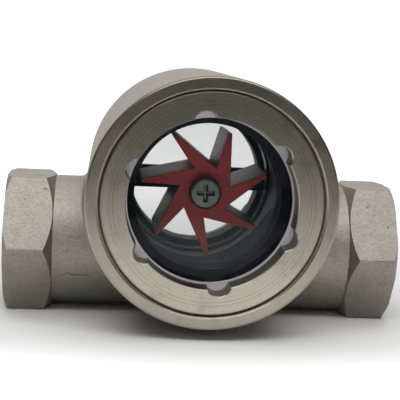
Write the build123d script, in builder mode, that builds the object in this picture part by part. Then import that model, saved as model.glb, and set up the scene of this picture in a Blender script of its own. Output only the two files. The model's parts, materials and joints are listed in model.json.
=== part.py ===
"""Flow sight glass: a cast body with two windows and a paddle wheel that the flow turns.

Frame: millimetres, +Z up, origin on the ground under the middle of the body. The pipe runs along X
and the body rests on the lower flats of its hexagons. The barrel, its windows and the wheel lie
along Y, and the front window looks towards -Y.
"""
import os
from math import cos, degrees, radians, sin, sqrt, tan

from build123d import *

# ---------------------------------------------------------------- driving dimensions
body_length = 100.0          # end face to end face along the pipe
hexagon_across_flats = 34.2
pipe_below_barrel = 15.7     # how far the pipe's axis lies under the barrel's axis
pipe_z = hexagon_across_flats / 2
barrel_z = pipe_z + pipe_below_barrel

# Barrel
barrel_radius = 29.8
barrel_half_depth = 38.1
barrel_edge = 0.5
rim_bore_radius = 26.7
rim_chamfer = 0.4

# Necks and hexagons
neck_radius = 16.75
neck_fillet = 1.8
hexagon_length = 12.4
hexagon_corner_round = 0.9
outer_chamfer_length = 1.4
outer_chamfer_radius = 17.65
inner_cone_length = 2.3
inner_cone_step = 0.1         # how far the inner cone starts under the neck's surface

# Pipe threads, G3/4
pipe_thread_pitch = 1.814
pipe_thread_minor = 12.06
pipe_thread_major = 13.22
pipe_thread_length = 14.5
pipe_thread_flank_angle = 22.5
pipe_thread_root_half = 0.04  # half the width of the groove's floor
pipe_thread_run_out = 0.9     # how far the groove goes on into the relief
pipe_thread_cut_in = 0.4      # how far the cutter stands inside the thread wall
pipe_relief_width = 1.6       # plain groove where the thread runs out
pipe_relief_lead = 0.4
pipe_relief_slope = 1.5
pipe_relief_clearance = 0.05
pipe_entry_chamfer = 1.2
pipe_entry_clearance = 0.3
passage_radius = 10.0

# Chamber, glass seats and ring threads, measured from the middle of the barrel
chamber_radius = 21.0
chamber_half_depth = 17.0
chamber_corner_round = 1.2
lip_radius = 18.0
lip_cut_end = 10.0            # the lip's bore is cut this far in, well inside the chamber
seat_radius = 23.7
ring_thread_pitch = 1.5
ring_thread_turns = 3
ring_thread_major = 26.45
ring_thread_minor = 25.7
ring_thread_clearance = 0.12
ring_thread_setback = 1.5     # plain part between the ring's face and its thread
ring_thread_lead = 0.3
ring_thread_relief = 0.6

# Shares of the pitch at which a drawn thread leaves its crest, reaches its root and leaves it
crest_share = 0.15
root_start_share = 0.45
root_end_share = 0.7

# Window stack
gasket_thickness = 1.0
glass_thickness = 6.0
glass_radius = 23.4
glass_edge = 0.4
seat_floor = 23.5
outer_gasket_bore = 19.8
gasket_radius = 23.5
ring_face = 38.0
ring_outer_radius = 26.35
ring_bore_radius = 20.1
ring_edge = 0.4
ring_undercut_start = 0.4
ring_undercut_end = 0.2
ring_back_taper = 1.7
notch_radius = 2.85
notch_reach = 21.8
notch_count = 6
notch_angle = 37.2
notch_edge = 0.25

# Wheel
arm_count = 7
arm_tip_radius = 16.2
arm_tip_angle = 17.4
arm_tip_width = 1.0
arm_corner_radius = 6.6
arm_corner_lag = 3.4         # degrees by which each inner corner lags behind its arm
arm_edge = 0.2
wheel_front = -15.0
wheel_rear = 7.0
wheel_web = 0.9              # thickness at the front, round the bush

# Support bar
bar_front = 15.0
bar_height = 6.2
bar_half_length = 19.6
bar_end_round = 1.0
bar_edge = 0.3

# Hub and axle, M4
axle_radius = 1.98
hole_radius = 2.15
screw_thread_minor = 1.62
screw_thread_pitch = 0.7
screw_thread_start = 12.4
screw_thread_turns = 13
screw_tail = 1.2
screw_point = 0.35
bush_bore_radius = 2.03
bush_radius = 3.0
bush_length = 6.0
bush_proud = 0.1
hub_radius = 4.2
end_play = 0.15
washer_radius = 3.95
washer_thickness = 0.5
head_radius = 4.0
head_height = 2.5
head_dome = 0.9
recess_width = 1.15
recess_span = 4.5
recess_depth = 1.7
recess_taper = 12.0
spacer_nut_thickness = 2.2
nut_across_flats = 7.0
nut_thickness = 3.2
lock_washer_thickness = 0.9
lock_washer_gap = 0.7

# Flow arrow on the left neck
arrow_tip_x = -35.2
arrow_tail_x = -28.6
arrow_head_length = 1.9
arrow_head_height = 2.2
arrow_shaft_height = 0.8
arrow_tilt = 24.0            # degrees below the neck's foremost line
arrow_relief = 0.3
arrow_root = 2.0              # how far the arrow is rooted in the neck
arrow_blank = 5.0

beyond = 1.0                  # how far cutting shapes reach past a face

# Places along the axle, from the screw's head to its end
bush_front = wheel_front - bush_proud
head_back = bush_front - end_play - washer_thickness
bar_back = chamber_half_depth
nut_front = bar_back + lock_washer_thickness
screw_end = nut_front + nut_thickness + screw_tail
spacer_nut_front = bar_front - spacer_nut_thickness
bush_rear = spacer_nut_front - washer_thickness - end_play

half_length = body_length / 2
hexagon_start = half_length - hexagon_length
hexagon_vertex_radius = hexagon_across_flats / sqrt(3)
barrel_axis = Axis((0, 0, barrel_z), (0, 1, 0))
pipe_axis = Axis((0, 0, pipe_z), (1, 0, 0))
window_plane = Plane.XY.offset(barrel_z)     # holds (radius, y) profiles of the barrel
pipe_plane = Plane.XY.offset(pipe_z)         # holds (x, radius) profiles of the pipe

os.makedirs("parts", exist_ok=True)


def save(piece, name):
    """Label a finished piece and write its STEP file."""
    piece.part.label = name
    export_step(piece.part, f"parts/{name}.step")


def facing(y):
    """A plane across the barrel at depth y, seen from the front, with X to the right and Z up."""
    return Plane((0, y, barrel_z), x_dir=(1, 0, 0), z_dir=(0, -1, 0))


def turned(points, plane, axis):
    """A piece turned from a closed outline."""
    with BuildPart() as piece:
        with BuildSketch(plane):
            with BuildLine():
                Polyline(*points, close=True)
            make_face()
        revolve(axis=axis)
    return piece.part


def collar(inner, outer, start, end):
    """A plain ring about the barrel's axis."""
    points = [(inner, start), (outer, start), (outer, end), (inner, end)]
    return turned(points, window_plane, barrel_axis)


def thread_outline(start, pitch, turns, crest, root):
    """Points (radius, along) of a row of thread rings, crest first and last."""
    points = []
    for turn in range(turns):
        base = start + turn * pitch
        points += [(crest, base), (crest, base + crest_share * pitch)]
        points += [(root, base + root_start_share * pitch), (root, base + root_end_share * pitch)]
    points.append((crest, start + turns * pitch))
    return points


# ---------------------------------------------------------------- body casting
def barrel_blank():
    points = [
        (0, -barrel_half_depth),
        (barrel_radius - barrel_edge, -barrel_half_depth),
        (barrel_radius, -barrel_half_depth + barrel_edge),
        (barrel_radius, barrel_half_depth - barrel_edge),
        (barrel_radius - barrel_edge, barrel_half_depth),
        (0, barrel_half_depth),
    ]
    return turned(points, window_plane, barrel_axis)


def hexagon_end():
    """The hexagon at +X, turned off at both ends."""
    with BuildPart() as piece:
        with BuildSketch(Plane.YZ.offset(hexagon_start)):
            with Locations((0, pipe_z)):
                RegularPolygon(hexagon_across_flats / 2, 6, major_radius=False)
            fillet(vertices(), radius=hexagon_corner_round)
        extrude(amount=hexagon_length)
        with BuildSketch(pipe_plane):
            with BuildLine():
                Polyline(
                    (hexagon_start, 0),
                    (hexagon_start, neck_radius - inner_cone_step),
                    (hexagon_start + inner_cone_length, hexagon_vertex_radius),
                    (half_length - outer_chamfer_length, hexagon_vertex_radius),
                    (half_length, outer_chamfer_radius),
                    (half_length, 0),
                    close=True,
                )
            make_face()
        revolve(axis=pipe_axis, mode=Mode.INTERSECT)
    return piece.part


def pipe_bore():
    """Entry chamfer, thread wall, run-out groove and passage of the +X end."""
    mouth = half_length
    entry_radius = pipe_thread_major + pipe_entry_clearance
    groove_radius = pipe_thread_major + pipe_relief_clearance
    thread_start = mouth - pipe_entry_chamfer
    thread_end = thread_start - pipe_thread_length
    groove_end = thread_end - pipe_relief_width
    points = [
        (0, 0),
        (mouth + beyond, 0),
        (mouth + beyond, entry_radius),
        (mouth, entry_radius),
        (thread_start, pipe_thread_minor),
        (thread_end, pipe_thread_minor),
        (thread_end - pipe_relief_lead, groove_radius),
        (groove_end, groove_radius),
        (groove_end - pipe_relief_slope, passage_radius),
        (0, passage_radius),
    ]
    return turned(points, pipe_plane, pipe_axis)


def pipe_thread():
    """Right-handed helical groove of the +X end, from its run-out groove to beyond the mouth."""
    start = half_length - pipe_entry_chamfer - pipe_thread_length - pipe_thread_run_out
    depth = pipe_thread_major - pipe_thread_minor
    flank_run = (depth + pipe_thread_cut_in) * tan(radians(pipe_thread_flank_angle))
    crest_half = pipe_thread_root_half + flank_run
    with BuildPart() as piece:
        with BuildLine():
            path = Helix(
                pipe_thread_pitch,
                half_length + pipe_thread_pitch - start,
                pipe_thread_minor,
                center=(start, 0, pipe_z),
                direction=(1, 0, 0),
            )
        begin = path @ 0
        outward = Vector(0, begin.Y, begin.Z - pipe_z).normalized()
        with BuildSketch(Plane(begin, x_dir=outward, z_dir=path % 0)):
            Polygon(
                (-pipe_thread_cut_in, -crest_half),
                (depth, -pipe_thread_root_half),
                (depth, pipe_thread_root_half),
                (-pipe_thread_cut_in, crest_half),
                align=None,
            )
        sweep(is_frenet=True)
    return piece.part


def window_bore():
    """Ring thread, glass seat and lip of the front window, down to the chamber."""
    face = -barrel_half_depth
    thread_start = -ring_face + ring_thread_setback
    crest = ring_thread_minor + ring_thread_clearance
    root = ring_thread_major + ring_thread_clearance
    rings = thread_outline(thread_start, ring_thread_pitch, ring_thread_turns, crest, root)
    thread_end = rings[-1][1]
    points = [(0, face - beyond), (rim_bore_radius + rim_chamfer, face - beyond)]
    points += [(rim_bore_radius + rim_chamfer, face), (rim_bore_radius, face + rim_chamfer)]
    points += [(rim_bore_radius, thread_start - ring_thread_lead)] + rings
    points += [(crest, thread_end + ring_thread_relief), (seat_radius, thread_end + ring_thread_relief)]
    points += [(seat_radius, -seat_floor), (lip_radius, -seat_floor)]
    points += [(lip_radius, -lip_cut_end), (0, -lip_cut_end)]
    return turned(points, window_plane, barrel_axis)


def chamber():
    with BuildPart() as piece:
        with BuildSketch(window_plane):
            with BuildLine():
                Polyline(
                    (0, -chamber_half_depth),
                    (chamber_radius, -chamber_half_depth),
                    (chamber_radius, chamber_half_depth),
                    (0, chamber_half_depth),
                    close=True,
                )
            make_face()
            corners = vertices().group_by(Axis.X)[-1]
            fillet(corners, radius=chamber_corner_round)
        revolve(axis=barrel_axis)
    return piece.part


def flow_arrow():
    """Raised arrow that follows the neck's round surface."""
    tilt = radians(arrow_tilt)
    outward = (0, -cos(tilt), -sin(tilt))
    head_x = arrow_tip_x + arrow_head_length
    root_plane = Plane((0, 0, pipe_z), x_dir=(1, 0, 0), z_dir=outward).offset(neck_radius - arrow_root)
    with BuildPart() as piece:
        with BuildSketch(root_plane):
            with BuildLine():
                Polyline(
                    (arrow_tip_x, 0),
                    (head_x, arrow_head_height / 2),
                    (head_x, arrow_shaft_height / 2),
                    (arrow_tail_x, arrow_shaft_height / 2),
                    (arrow_tail_x, -arrow_shaft_height / 2),
                    (head_x, -arrow_shaft_height / 2),
                    (head_x, -arrow_head_height / 2),
                    close=True,
                )
            make_face()
        extrude(amount=arrow_blank)
        with BuildSketch(Plane.YZ.offset(arrow_tip_x - beyond)):
            with Locations((0, pipe_z)):
                Circle(neck_radius + arrow_relief)
        extrude(amount=arrow_tail_x - arrow_tip_x + 2 * beyond, mode=Mode.INTERSECT)
    return piece.part


def body_casting():
    window = window_bore()
    bore = mirror(pipe_bore(), about=Plane.YZ)
    thread = pipe_thread()
    hexagon = hexagon_end()
    with BuildPart() as piece:
        add(barrel_blank())
        with BuildSketch(Plane.YZ.offset(-hexagon_start - inner_cone_length)):
            with Locations((0, pipe_z)):
                Circle(neck_radius)
        extrude(amount=2 * (hexagon_start + inner_cone_length))
        seam = piece.edges().filter_by(lambda edge: edge.geom_type not in (GeomType.CIRCLE, GeomType.LINE))
        fillet(seam, radius=neck_fillet)
        for end in (hexagon, mirror(hexagon, about=Plane.YZ, mode=Mode.PRIVATE)):
            add(end)
        add(flow_arrow())
        for hollow in (window, mirror(window, about=Plane.XZ, mode=Mode.PRIVATE), chamber()):
            add(hollow, mode=Mode.SUBTRACT)
        for hollow in (bore, thread):
            add(hollow, mode=Mode.SUBTRACT)
            add(hollow.rotate(Axis.Z, 180), mode=Mode.SUBTRACT)
    return piece


# ---------------------------------------------------------------- windows
def retaining_ring():
    """Front ring: bore with half-round spanner notches, and thread rings behind its face."""
    thread_start = -ring_face + ring_thread_setback
    rings = thread_outline(
        thread_start, ring_thread_pitch, ring_thread_turns, ring_thread_minor, ring_thread_major
    )
    ring_back = -seat_floor - 2 * gasket_thickness - glass_thickness
    points = [(ring_bore_radius, -ring_face), (ring_outer_radius - ring_edge, -ring_face)]
    points += [(ring_outer_radius, -ring_face + ring_edge)]
    points += [(ring_outer_radius, thread_start - ring_undercut_start)]
    points += [(ring_thread_minor, thread_start - ring_undercut_end)] + rings
    points += [(ring_thread_minor - ring_back_taper, ring_back), (ring_bore_radius, ring_back)]
    with BuildPart() as piece:
        add(turned(points, window_plane, barrel_axis))
        with BuildSketch(facing(-ring_face)):
            with PolarLocations(notch_reach - notch_radius, notch_count, start_angle=notch_angle):
                Circle(notch_radius)
        extrude(amount=-(ring_face + ring_back), mode=Mode.SUBTRACT)
        front = piece.faces().sort_by(Axis.Y)[0]
        chamfer(front.inner_wires()[0].edges(), length=notch_edge)
    return piece


def window_stack():
    """Front window from the seat outwards: rubber gasket, glass, white gasket, retaining ring."""
    glass_back = -seat_floor - gasket_thickness
    glass_front = glass_back - glass_thickness
    gasket_front = glass_front - gasket_thickness
    with BuildPart() as inner_gasket:
        add(collar(lip_radius, gasket_radius, glass_back, -seat_floor))
    with BuildPart() as glass:
        with BuildSketch(facing(glass_back)):
            Circle(glass_radius)
        extrude(amount=glass_thickness)
        chamfer(glass.edges(), length=glass_edge)
    with BuildPart() as outer_gasket:
        add(collar(outer_gasket_bore, gasket_radius, gasket_front, glass_front))
    return {
        "inner_gasket": inner_gasket,
        "glass": glass,
        "outer_gasket": outer_gasket,
        "retaining_ring": retaining_ring(),
    }


# ---------------------------------------------------------------- wheel
def polar(radius, angle):
    return Vector(radius * cos(radians(angle)), radius * sin(radians(angle)))


def impeller_wheel():
    """Star with blunt wedge-shaped arms of full depth, bored behind its front web for the hub tube."""
    half_tip = degrees(arm_tip_width / 2 / arm_tip_radius)
    star = []
    for arm in range(arm_count):
        angle = arm_tip_angle + arm * 360 / arm_count
        star.append(polar(arm_tip_radius, angle - half_tip))
        star.append(polar(arm_tip_radius, angle + half_tip))
        star.append(polar(arm_corner_radius, angle - arm_corner_lag))
    with BuildPart() as piece:
        with BuildSketch(facing(wheel_front)):
            Polygon(*star, align=None)
        extrude(amount=wheel_front - wheel_rear)
        chamfer(piece.faces().sort_by(Axis.Y)[0].edges(), length=arm_edge)
        add(collar(0, bush_radius, wheel_front - beyond, wheel_rear), mode=Mode.SUBTRACT)
        add(collar(0, hub_radius, wheel_front + wheel_web, wheel_rear), mode=Mode.SUBTRACT)
    return piece


def hub_tube():
    with BuildPart() as piece:
        add(collar(bush_radius, hub_radius, wheel_front + wheel_web, bush_rear - bush_proud))
    return piece


def hub_bush(start):
    with BuildPart() as piece:
        add(collar(bush_bore_radius, bush_radius, start, start + bush_length))
    return piece


# ---------------------------------------------------------------- axle
def axle_screw():
    """Pan-head screw with a cross recess, its thread drawn as rings."""
    thread = thread_outline(
        screw_thread_start, screw_thread_pitch, screw_thread_turns, axle_radius, screw_thread_minor
    )
    head_front = head_back - head_height
    points = [(0, head_front), (head_radius, head_front), (head_radius, head_back)]
    points += [(axle_radius, head_back)] + thread
    points += [(axle_radius, screw_end - screw_point), (axle_radius - screw_point, screw_end)]
    points += [(0, screw_end)]
    with BuildPart() as piece:
        add(turned(points, window_plane, barrel_axis))
        fillet(piece.edges().sort_by(Axis.Y)[0], radius=head_dome)
        with BuildSketch(facing(head_front)):
            Rectangle(recess_span, recess_width)
            Rectangle(recess_width, recess_span)
        extrude(amount=-recess_depth, taper=recess_taper, mode=Mode.SUBTRACT)
    return piece


def washer(start):
    with BuildPart() as piece:
        add(collar(hole_radius, washer_radius, start, start + washer_thickness))
    return piece


def lock_washer():
    """Split ring."""
    with BuildPart() as piece:
        add(collar(hole_radius, nut_across_flats / 2, bar_back, nut_front))
        with BuildSketch(facing(bar_back)):
            with Locations((0, nut_across_flats / 2)):
                Rectangle(lock_washer_gap, nut_across_flats)
        extrude(amount=-lock_washer_thickness, mode=Mode.SUBTRACT)
    return piece


def nut(start, thickness):
    """Hexagon nut with turned corners at both faces."""
    corner = nut_across_flats / sqrt(3)
    flat = nut_across_flats / 2
    end = start + thickness
    slope = corner - flat
    outline = [(0, start), (flat, start), (corner, start + slope), (corner, end - slope), (flat, end)]
    with BuildPart() as piece:
        with BuildSketch(facing(start)):
            RegularPolygon(flat, 6, major_radius=False)
            Circle(hole_radius, mode=Mode.SUBTRACT)
        extrude(amount=-thickness)
        add(turned(outline + [(0, end)], window_plane, barrel_axis), mode=Mode.INTERSECT)
    return piece


def support_bar():
    """Flat bar across the chamber, seated on the inner face of the rear lip."""
    with BuildPart() as piece:
        with BuildSketch(facing(bar_front)):
            Rectangle(2 * bar_half_length, bar_height)
            fillet(vertices(), radius=bar_end_round)
            Circle(hole_radius, mode=Mode.SUBTRACT)
        extrude(amount=bar_front - bar_back)
        chamfer(piece.edges().filter_by(Axis.X), length=bar_edge)
    return piece


# ---------------------------------------------------------------- all pieces
save(body_casting(), "body_casting")

for name, piece in window_stack().items():
    save(piece, f"front_{name}")
    with BuildPart() as rear_piece:
        mirror(piece.part, about=Plane.XZ)
    save(rear_piece, f"rear_{name}")

save(impeller_wheel(), "impeller_wheel")
save(hub_tube(), "hub_tube")
save(hub_bush(bush_front), "front_hub_bush")
save(hub_bush(bush_rear - bush_length), "rear_hub_bush")

save(axle_screw(), "axle_screw")
save(washer(head_back), "front_washer")
save(washer(spacer_nut_front - washer_thickness), "rear_thrust_washer")
save(nut(spacer_nut_front, spacer_nut_thickness), "spacer_nut")
save(support_bar(), "support_bar")
save(lock_washer(), "lock_washer")
save(nut(nut_front, nut_thickness), "hex_nut")
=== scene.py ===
import json
from math import pi

import bpy
from mathutils import Matrix, Vector


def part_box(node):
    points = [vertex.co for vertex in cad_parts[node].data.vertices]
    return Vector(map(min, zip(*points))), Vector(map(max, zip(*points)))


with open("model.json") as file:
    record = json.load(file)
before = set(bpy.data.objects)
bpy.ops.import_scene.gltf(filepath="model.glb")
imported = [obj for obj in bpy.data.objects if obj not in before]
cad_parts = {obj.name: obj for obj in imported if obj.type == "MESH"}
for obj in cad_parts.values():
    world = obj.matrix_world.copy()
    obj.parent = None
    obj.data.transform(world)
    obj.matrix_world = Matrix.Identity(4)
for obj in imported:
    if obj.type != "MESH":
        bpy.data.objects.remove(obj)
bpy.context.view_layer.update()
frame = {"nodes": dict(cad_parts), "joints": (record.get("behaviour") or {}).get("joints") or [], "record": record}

MM = 0.001
AXLE = Vector(frame["joints"][0]["pos_m"])          # middle of the barrel, on the wheel's axis
PIPE_HEIGHT = frame["record"]["mounts"][0]["pos_m"][2]

# Borders of the casting's finishes, painted shade and painted highlights: a pair is where a border starts and
# where it is complete.
# Radii about the barrel's axis
CHAMBER_RADIUS = (21.7 * MM, 22.0 * MM)
CORNER_RADIUS = (19.75 * MM, 19.95 * MM)
ARC_HIGHLIGHT_RADIUS = (20.4 * MM, 20.8 * MM)
# Radii about the pipe's axis
PASSAGE_RADIUS = (10.3 * MM, 10.5 * MM)
THREAD_RADIUS = (13.6 * MM, 13.8 * MM)
# Distances from the middle, along the barrel and along the pipe
CHAMBER_END = (23.6 * MM, 23.8 * MM)
RIM_START = (37.6 * MM, 37.9 * MM)
THREAD_START = (31.0 * MM, 31.5 * MM)
# Depths inside the chamber, front to back
WALL_SHADE = (-14 * MM, 12 * MM)
WALL_SHEEN = (-16 * MM, 14 * MM)
ARC_HIGHLIGHT_START = (12.2 * MM, 13.6 * MM)
ARC_HIGHLIGHT_END = (16.1 * MM, 15.7 * MM)
CORNER_START = (15.4 * MM, 15.9 * MM)
CORNER_END = (17.3 * MM, 17.1 * MM)
LIP_FACE = (16.4 * MM, 16.9 * MM)
LIP_BORE = (17.2 * MM, 17.6 * MM)
# Heights between which painted shade darkens the underside, and the depth at which a ring's face ends, behind
# which painted shade darkens the ring's bore
UNDERSIDE_SHADE = (17 * MM, 2 * MM)
RING_FACE = (37.9 * MM, 37.6 * MM)
# Depth of the red paint behind the wheel's front
PAINT_DEPTH = (0.12 * MM, 0.22 * MM)


# ------------------------------------------------------------------ node helpers
class Shader:
    """A new material and short calls that add its nodes. Places are in the object's own metres."""

    def __init__(self, name):
        self.material = bpy.data.materials.new(name)
        self.material.use_nodes = True
        self.tree = self.material.node_tree
        self.tree.nodes.clear()
        output = self.tree.nodes.new("ShaderNodeOutputMaterial")
        self.surface = self.tree.nodes.new("ShaderNodeBsdfPrincipled")
        self.tree.links.new(self.surface.outputs[0], output.inputs[0])
        coords = self.tree.nodes.new("ShaderNodeTexCoord")
        self.place = coords.outputs["Object"]

    def feed(self, socket, value):
        if isinstance(value, bpy.types.NodeSocket):
            self.tree.links.new(value, socket)
        else:
            socket.default_value = value

    def set(self, name, value):
        self.feed(self.surface.inputs[name], value)

    def math(self, operation, a, b=0.0, clamp=False):
        node = self.tree.nodes.new("ShaderNodeMath")
        node.operation = operation
        node.use_clamp = clamp
        self.feed(node.inputs[0], a)
        self.feed(node.inputs[1], b)
        return node.outputs[0]

    def times(self, a, b):
        return self.math("MULTIPLY", a, b)

    def rest_of(self, value):
        """1 minus a mask."""
        return self.math("SUBTRACT", 1.0, value)

    def vector(self, operation, a, b=(0, 0, 0)):
        node = self.tree.nodes.new("ShaderNodeVectorMath")
        node.operation = operation
        self.feed(node.inputs[0], a)
        self.feed(node.inputs[1], b)
        return node.outputs["Value" if operation == "LENGTH" else "Vector"]

    def axes(self):
        """X, Y and Z of the place, as sockets."""
        node = self.tree.nodes.new("ShaderNodeSeparateXYZ")
        self.feed(node.inputs[0], self.place)
        return node.outputs

    def fade(self, value, low, high):
        """0 at low, 1 at high, smooth between. Low may be the larger one."""
        node = self.tree.nodes.new("ShaderNodeMapRange")
        node.interpolation_type = "SMOOTHSTEP"
        self.feed(node.inputs["Value"], value)
        node.inputs["From Min"].default_value = low
        node.inputs["From Max"].default_value = high
        return node.outputs["Result"]

    def spread(self, value, low, high):
        """Map 0..1 to low..high."""
        node = self.tree.nodes.new("ShaderNodeMapRange")
        self.feed(node.inputs["Value"], value)
        node.inputs["To Min"].default_value = low
        node.inputs["To Max"].default_value = high
        return node.outputs["Result"]

    def noise(self, scale, detail=3.0, roughness=0.55, stretch=(1, 1, 1)):
        node = self.tree.nodes.new("ShaderNodeTexNoise")
        self.feed(node.inputs["Vector"], self.vector("MULTIPLY", self.place, stretch))
        node.inputs["Scale"].default_value = scale
        node.inputs["Detail"].default_value = detail
        node.inputs["Roughness"].default_value = roughness
        return node.outputs["Fac"]

    def cells(self, scale):
        """Distance to the nearest of many scattered points."""
        node = self.tree.nodes.new("ShaderNodeTexVoronoi")
        node.feature = "F1"
        self.feed(node.inputs["Vector"], self.place)
        node.inputs["Scale"].default_value = scale
        return node.outputs["Distance"]

    def mix(self, factor, a, b):
        """Colour a where the factor is 0, b where it is 1."""
        node = self.tree.nodes.new("ShaderNodeMix")
        node.data_type = "RGBA"
        self.feed(node.inputs[0], factor)
        self.feed(node.inputs[6], a)
        self.feed(node.inputs[7], b)
        return node.outputs[2]

    def tint(self, colour, mask, strength, towards):
        """The colour, drawn towards another one where the mask is."""
        return self.mix(self.times(mask, strength), colour, towards)

    def blend(self, factor, a, b):
        """Value a where the factor is 0, b where it is 1."""
        node = self.tree.nodes.new("ShaderNodeMix")
        self.feed(node.inputs[0], factor)
        self.feed(node.inputs[2], a)
        self.feed(node.inputs[3], b)
        return node.outputs[0]

    def bump(self, height, strength, distance, after=None):
        node = self.tree.nodes.new("ShaderNodeBump")
        self.feed(node.inputs["Height"], height)
        self.feed(node.inputs["Strength"], strength)
        node.inputs["Distance"].default_value = distance
        if after is not None:
            self.feed(node.inputs["Normal"], after)
        return node.outputs[0]

    def from_barrel_axis(self):
        """Distance from the barrel's axis."""
        offset = self.vector("SUBTRACT", self.place, tuple(AXLE))
        return self.vector("LENGTH", self.vector("MULTIPLY", offset, (1, 0, 1)))

    def from_pipe_axis(self):
        """Distance from the pipe's axis."""
        offset = self.vector("SUBTRACT", self.place, (0, 0, PIPE_HEIGHT))
        return self.vector("LENGTH", self.vector("MULTIPLY", offset, (0, 1, 1)))

    def turned_lines(self, distance, pitch):
        """Uneven rings left by a lathe tool, 0..1, at a distance from an axis."""
        node = self.tree.nodes.new("ShaderNodeTexNoise")
        node.noise_dimensions = "1D"
        self.feed(node.inputs["W"], distance)
        node.inputs["Scale"].default_value = 1 / pitch
        node.inputs["Detail"].default_value = 2.0
        return node.outputs["Fac"]


def rgb(red, green, blue):
    """A shader colour from 0-255 screen values."""
    def linear(value):
        value /= 255
        return value / 12.92 if value <= 0.04045 else ((value + 0.055) / 1.055) ** 2.4
    return (linear(red), linear(green), linear(blue), 1)


# ------------------------------------------------------------------ casting
def skin_colour(s, height, cloud, blotch, ripple):
    """Blasted outside: clouded, with fine ripples and stains, and painted shade darkening it underneath."""
    skin = s.mix(cloud, rgb(156, 149, 141), rgb(174, 167, 157))
    skin = s.tint(skin, s.fade(ripple, 0.45, 0.62), 0.3, rgb(182, 174, 164))
    skin = s.tint(skin, s.fade(ripple, 0.52, 0.38), 0.3, rgb(120, 114, 105))
    skin = s.tint(skin, s.fade(blotch, 0.5, 0.72), 0.35, rgb(132, 126, 116))
    skin = s.tint(skin, s.fade(s.noise(2600, 2, 0.6), 0.55, 0.8), 0.3, rgb(112, 106, 98))
    # Painted shade: the skin darkens towards the floor, where less light reaches it.
    return s.tint(skin, s.fade(height, *UNDERSIDE_SHADE), 0.5, rgb(108, 107, 102))


def turned_colour(s, cloud, blotch):
    """Turned rims and threads."""
    turned = s.mix(cloud, rgb(150, 144, 132), rgb(172, 166, 151))
    return s.tint(turned, s.fade(blotch, 0.52, 0.7), 0.4, rgb(128, 122, 110))


def chamber_colour_and_painted_light(s, depth, radius, cloud, blotch, corner):
    """Chamber: painted shade draws it nearly black at the front, slate towards the back; more painted shade
    darkens the rear lip, and a pale line before the lip is a painted highlight.
    """
    # Painted shade: the chamber's wall is drawn nearly black towards the front, where little light enters.
    painted_front_shade = s.mix(blotch, rgb(16, 20, 40), rgb(26, 32, 54))
    slate = s.mix(blotch, rgb(156, 166, 164), rgb(178, 188, 184))
    uneven_depth = s.math("ADD", depth, s.times(cloud, 6 * MM))
    shaded_wall = s.mix(s.fade(uneven_depth, *WALL_SHADE), painted_front_shade, slate)
    # Painted shade: the rear lip's face and its bore are drawn dark.
    lip = s.mix(blotch, rgb(58, 70, 70), rgb(74, 86, 84))
    shaded_wall = s.mix(s.fade(depth, *LIP_FACE), shaded_wall, lip)
    shaded_wall = s.mix(s.fade(depth, *LIP_BORE), shaded_wall, rgb(26, 32, 32))
    # Painted highlight: a pale band on the wall before the rear lip stands in for a glint.
    painted_arc = s.times(s.fade(depth, *ARC_HIGHLIGHT_START), s.fade(depth, *ARC_HIGHLIGHT_END))
    painted_arc = s.times(painted_arc, s.fade(radius, *ARC_HIGHLIGHT_RADIUS))
    shaded_wall = s.mix(painted_arc, shaded_wall, rgb(232, 238, 232))
    # Pale glossy fillet at the rear lip: its pale colour is painted highlight, and the front lamp adds a real
    # glint on its metal.
    return s.mix(corner, shaded_wall, rgb(236, 240, 236))


def casting_height(s, radius, inside, rim, ripple):
    """Blasted grain and pits on the skin, softer in the chamber, lathe lines on the rims."""
    grain = s.math("ADD", s.noise(950, 4, 0.75), s.times(s.noise(3600, 2), 0.5))
    hole = s.rest_of(s.fade(s.cells(420), 0.1, 0.24))
    pits = s.times(s.times(hole, s.fade(s.noise(130, 2), 0.5, 0.6)), -1.5)
    skin = s.math("ADD", s.math("ADD", grain, s.times(ripple, 0.8)), pits)
    skin = s.blend(inside, skin, s.times(grain, 0.4))
    lathe = s.math("ADD", s.turned_lines(radius, 0.22 * MM), s.noise(2200, 3, 0.7))
    return s.blend(rim, skin, s.times(lathe, 0.1))


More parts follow.
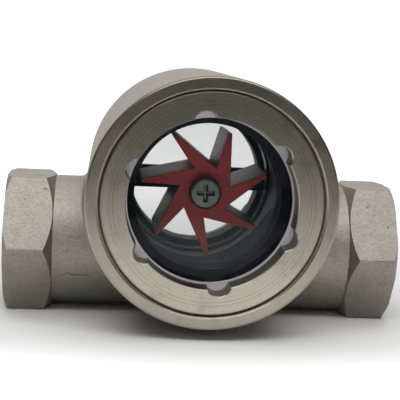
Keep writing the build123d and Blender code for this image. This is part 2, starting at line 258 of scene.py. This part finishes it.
def cast_stainless():
    """Blasted casting outside, turned rims and mouths, and chamber walls inside darkened by painted shade, with
    painted highlights near the rear lip.
    """
    s = Shader("cast_stainless")
    x, y, z = s.axes()
    depth = s.math("ABSOLUTE", y)
    radius = s.from_barrel_axis()
    bore = s.from_pipe_axis()

    near_axis = s.rest_of(s.fade(radius, *CHAMBER_RADIUS))
    chamber = s.times(near_axis, s.rest_of(s.fade(depth, *CHAMBER_END)))
    passage = s.rest_of(s.fade(bore, *PASSAGE_RADIUS))
    inside = s.math("MAXIMUM", chamber, passage)
    in_mouth = s.fade(s.math("ABSOLUTE", x), *THREAD_START)
    thread = s.math("SUBTRACT", in_mouth, s.fade(bore, *THREAD_RADIUS), clamp=True)
    rim = s.math("MAXIMUM", s.fade(depth, *RIM_START), thread)
    corner = s.times(s.fade(y, *CORNER_START), s.fade(radius, *CORNER_RADIUS))
    corner = s.times(corner, s.times(inside, s.fade(y, *CORNER_END)))

    cloud = s.noise(45, 4)
    blotch = s.noise(160, 5, 0.65)
    ripple = s.noise(3200, 3, 0.65, stretch=(0.4, 1, 1))
    outside = s.mix(rim, skin_colour(s, z, cloud, blotch, ripple), turned_colour(s, cloud, blotch))
    s.set("Base Color", s.mix(inside, outside, chamber_colour_and_painted_light(s, y, radius, cloud, blotch, corner)))
    s.set("Metallic", s.math("ADD", s.rest_of(inside), corner))
    sheen = s.spread(s.fade(y, *WALL_SHEEN), 0.05, 0.45)
    s.set("Specular IOR Level", s.blend(inside, 0.5, sheen))
    rough = s.spread(s.noise(420, 3), 0.46, 0.6)
    rough = s.blend(rim, rough, s.spread(s.noise(300, 3), 0.25, 0.38))
    rough = s.blend(inside, rough, 0.62)
    s.set("Roughness", s.blend(corner, rough, 0.22))

    fine = s.bump(casting_height(s, radius, inside, rim, ripple), 0.6, 0.16 * MM)
    waves = s.times(s.noise(90, 3), s.rest_of(rim))
    s.set("Normal", s.bump(waves, 0.5, 0.5 * MM, after=fine))
    return s.material


# ------------------------------------------------------------------ other materials
def machined_stainless():
    """Turned ring: fine rings on its face, faint handling marks, and painted shade darkening it behind the face.
    """
    s = Shader("machined_stainless")
    y = s.axes()["Y"]
    radius = s.from_barrel_axis()
    colour = s.mix(s.noise(60, 4), rgb(166, 161, 146), rgb(190, 184, 168))
    colour = s.tint(colour, s.fade(s.turned_lines(radius, 0.45 * MM), 0.48, 0.66), 0.3, rgb(116, 110, 97))
    colour = s.tint(colour, s.fade(s.noise(170, 5, 0.7), 0.5, 0.72), 0.4, rgb(134, 128, 114))
    colour = s.tint(colour, s.fade(s.noise(1900, 2), 0.58, 0.76), 0.35, rgb(110, 104, 92))
    # Painted shade: the ring's bore, behind its face, is drawn dark brown.
    painted_shade_behind_face = s.fade(s.math("ABSOLUTE", y), *RING_FACE)
    s.set("Base Color", s.tint(colour, painted_shade_behind_face, 0.85, rgb(84, 76, 68)))
    s.set("Metallic", 1.0)
    s.set("Roughness", s.spread(s.noise(500, 4, 0.7), 0.25, 0.35))
    lines = s.bump(s.turned_lines(radius, 0.4 * MM), 0.4, 0.02 * MM)
    s.set("Normal", s.bump(s.noise(2200, 3, 0.7), 0.45, 0.03 * MM, after=lines))
    return s.material


def white_ptfe():
    s = Shader("white_ptfe")
    s.set("Base Color", s.mix(s.noise(300, 3), rgb(206, 200, 206), rgb(224, 219, 222)))
    s.set("Roughness", s.spread(s.noise(900, 2), 0.45, 0.6))
    s.set("Normal", s.bump(s.noise(1600, 2), 0.3, 0.03 * MM))
    return s.material


def black_rubber():
    s = Shader("black_rubber")
    s.set("Base Color", s.mix(s.noise(400, 3), rgb(16, 18, 30), rgb(26, 28, 44)))
    s.set("Roughness", s.spread(s.noise(900, 2), 0.55, 0.75))
    s.set("Normal", s.bump(s.noise(2500, 2), 0.3, 0.03 * MM))
    return s.material


def window_glass():
    """Clear glossy glass with a faint cool tint."""
    s = Shader("window_glass")
    s.set("Base Color", s.mix(s.noise(60, 2), rgb(38, 50, 58), rgb(46, 60, 66)))
    s.set("Roughness", s.spread(s.noise(500, 3), 0.03, 0.07))
    s.set("Alpha", 0.13)
    s.set("Specular IOR Level", 0.8)
    s.material.surface_render_method = "BLENDED"
    return s.material


def dull_steel(name, dark, light, smoothest, roughest):
    """Small hardware with a fine grain, between two colours and two roughnesses."""
    s = Shader(name)
    s.set("Base Color", s.mix(s.noise(350, 4), dark, light))
    s.set("Metallic", 1.0)
    s.set("Roughness", s.spread(s.noise(700, 3), smoothest, roughest))
    s.set("Normal", s.bump(s.noise(2600, 3, 0.6), 0.35, 0.03 * MM))
    return s.material


def painted_metal():
    """Red paint on the star's front face, ragged at its edges, and bare drawn metal on the flanks, with painted
    shade darkening them towards the back.
    """
    s = Shader("painted_metal")
    low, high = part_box("impeller_wheel")
    y = s.axes()["Y"]
    ragged = s.times(s.math("SUBTRACT", s.noise(700, 4), 0.5), 0.35 * MM)
    edge = [low.y + depth for depth in PAINT_DEPTH]
    paint = s.rest_of(s.fade(s.math("ADD", y, ragged), *edge))
    brush = s.noise(1100, 4, 0.7, stretch=(1, 0.3, 1))
    bare = s.mix(brush, rgb(132, 123, 114), rgb(202, 192, 180))
    bare = s.tint(bare, s.fade(s.noise(300, 5, 0.7), 0.46, 0.66), 0.6, rgb(84, 76, 70))
    # Painted shade: the bare flanks darken towards the wheel's back, deeper in the chamber.
    bare = s.tint(bare, s.fade(y, low.y, high.y), 0.35, rgb(70, 66, 62))
    red = s.mix(s.noise(180, 4), rgb(200, 62, 54), rgb(222, 78, 66))
    red = s.tint(red, s.fade(s.noise(1300, 3), 0.6, 0.75), 0.3, rgb(120, 36, 30))
    red = s.tint(red, s.fade(s.noise(240, 5, 0.7), 0.52, 0.68), 0.5, rgb(124, 58, 36))
    s.set("Base Color", s.mix(paint, bare, red))
    s.set("Metallic", s.blend(paint, 0.85, 0.0))
    satin = s.spread(s.noise(900, 3), 0.38, 0.52)
    s.set("Roughness", s.blend(paint, s.spread(brush, 0.35, 0.55), satin))
    s.set("Normal", s.bump(s.blend(paint, brush, s.noise(1500, 2)), 0.35, 0.04 * MM))
    return s.material


def assign():
    """Give every CAD node the finish that its record names."""
    finishes = {
        "cast_stainless": cast_stainless(),
        "machined_stainless": machined_stainless(),
        "white_ptfe": white_ptfe(),
        "window_glass": window_glass(),
        "black_rubber": black_rubber(),
        "screw_steel": dull_steel("screw_steel", rgb(120, 122, 112), rgb(158, 160, 150), 0.32, 0.5),
        "bar_steel": dull_steel("bar_steel", rgb(44, 44, 46), rgb(70, 70, 72), 0.4, 0.6),
        "painted_metal": painted_metal(),
    }
    for part in frame["record"]["subparts"]:
        node = frame["nodes"][part["node"]]
        node.data.materials.clear()
        node.data.materials.append(finishes[part["material_slot"]])


# ------------------------------------------------------------------ stage, light, camera
FLOOR_FRONT = -0.2           # the floor ends here, so the turned faces have something dark to mirror
FLOOR_BACK = 1.1
FLOOR_WIDTH = 3.0
WALL_HEIGHT = 1.6
BEND_RADIUS = 0.5
BEND_STEPS = 12
BACK_GLOW = 0.62
BACK_GLOW_Y = (0.02, 0.25)
FRONT_GLOW = 0.52            # a glowing strip before the object, which the lower faces mirror
FRONT_GLOW_START = (-0.2, -0.14)
FRONT_GLOW_END = (-0.075, -0.03)
ROOM_COLOUR = (0.95, 0.98, 1, 1)
ROOM_GLOW = 0.045
LENS = 99.06
SENSOR = 36
CAMERA_FROM_AXLE = Vector((-24.97, -288.95, 36.07)) * MM
CAMERA_RIGHT = Vector((0.99565, -0.08021, 0.04752)).normalized()
CAMERA_FORWARD = Vector((0.08606, 0.98675, -0.13756)).normalized()
NEAREST = 0.01


def pale_floor():
    """Matt paper: glows softly behind the object and in a strip before it, and the glow stops short of the object
    to leave a painted shadow under it.
    """
    s = Shader("pale_floor")
    y = s.axes()["Y"]
    s.set("Base Color", s.mix(s.noise(30, 2), rgb(236, 236, 236), rgb(240, 240, 240)))
    s.set("Roughness", 0.9)
    s.set("Emission Color", (1, 1, 1, 1))
    # Painted shadow: no glow in the band under the object, between the strip ahead and the glow behind.
    behind = s.times(s.fade(y, *BACK_GLOW_Y), BACK_GLOW)
    ahead = s.times(s.rest_of(s.fade(y, *FRONT_GLOW_END)), s.fade(y, *FRONT_GLOW_START))
    s.set("Emission Strength", s.math("ADD", behind, s.times(ahead, FRONT_GLOW)))
    return s.material


def floor_and_backdrop():
    """One pale sheet: flat floor that curves up into a wall behind."""
    bend_start = FLOOR_BACK - BEND_RADIUS
    profile = [(FLOOR_FRONT, 0.0), (bend_start, 0.0)]
    for step in range(1, BEND_STEPS + 1):
        turn = pi / 2 * step / BEND_STEPS
        direction = Matrix.Rotation(turn, 2) @ Vector((0, -1))
        profile.append((bend_start + BEND_RADIUS * direction.x, BEND_RADIUS + BEND_RADIUS * direction.y))
    profile.append((FLOOR_BACK, WALL_HEIGHT))
    points = [(side * FLOOR_WIDTH / 2, y, z) for y, z in profile for side in (-1, 1)]
    faces = [(2 * i, 2 * i + 1, 2 * i + 3, 2 * i + 2) for i in range(len(profile) - 1)]
    mesh = bpy.data.meshes.new("floor")
    mesh.from_pydata(points, [], faces)
    mesh.shade_smooth()
    floor = bpy.data.objects.new("floor", mesh)
    bpy.context.scene.collection.objects.link(floor)
    mesh.materials.append(pale_floor())


def softbox(name, place, aim, width, height, radiance):
    """White rectangular light."""
    light = bpy.data.lights.new(name, "AREA")
    light.shape = "RECTANGLE"
    light.size = width
    light.size_y = height
    light.energy = radiance * pi * width * height
    lamp = bpy.data.objects.new(name, light)
    bpy.context.scene.collection.objects.link(lamp)
    lamp.location = place
    lamp.rotation_euler = (Vector(aim) - Vector(place)).to_track_quat("-Z", "Y").to_euler()


def studio():
    world = bpy.data.worlds.new("studio")
    world.use_nodes = True
    room = world.node_tree.nodes["Background"]
    room.inputs["Color"].default_value = ROOM_COLOUR
    room.inputs["Strength"].default_value = ROOM_GLOW
    bpy.context.scene.world = world
    softbox("overhead", (0, 0.12, 0.8), (0, 0.05, 0), 0.9, 0.7, 1.5)
    softbox("front", (0.0, -0.62, 0.3), (0, 0, 0.03), 0.5, 0.14, 1.1)
    softbox("key", (0.0, -0.36, 0.54), (0, 0, 0.02), 0.8, 0.22, 4.5)


def camera():
    """Low, a little left and above, turned slightly, long lens."""
    data = bpy.data.cameras.new("camera")
    data.sensor_width = SENSOR
    data.lens = LENS
    data.clip_start = NEAREST
    cam = bpy.data.objects.new("camera", data)
    bpy.context.scene.collection.objects.link(cam)
    up = CAMERA_RIGHT.cross(CAMERA_FORWARD)
    turn = Matrix((CAMERA_RIGHT, up, -CAMERA_FORWARD)).transposed().to_4x4()
    cam.matrix_world = Matrix.Translation(AXLE + CAMERA_FROM_AXLE) @ turn
    bpy.context.scene.camera = cam


assign()
floor_and_backdrop()
studio()
camera()
bpy.context.scene.view_settings.view_transform = "Standard"
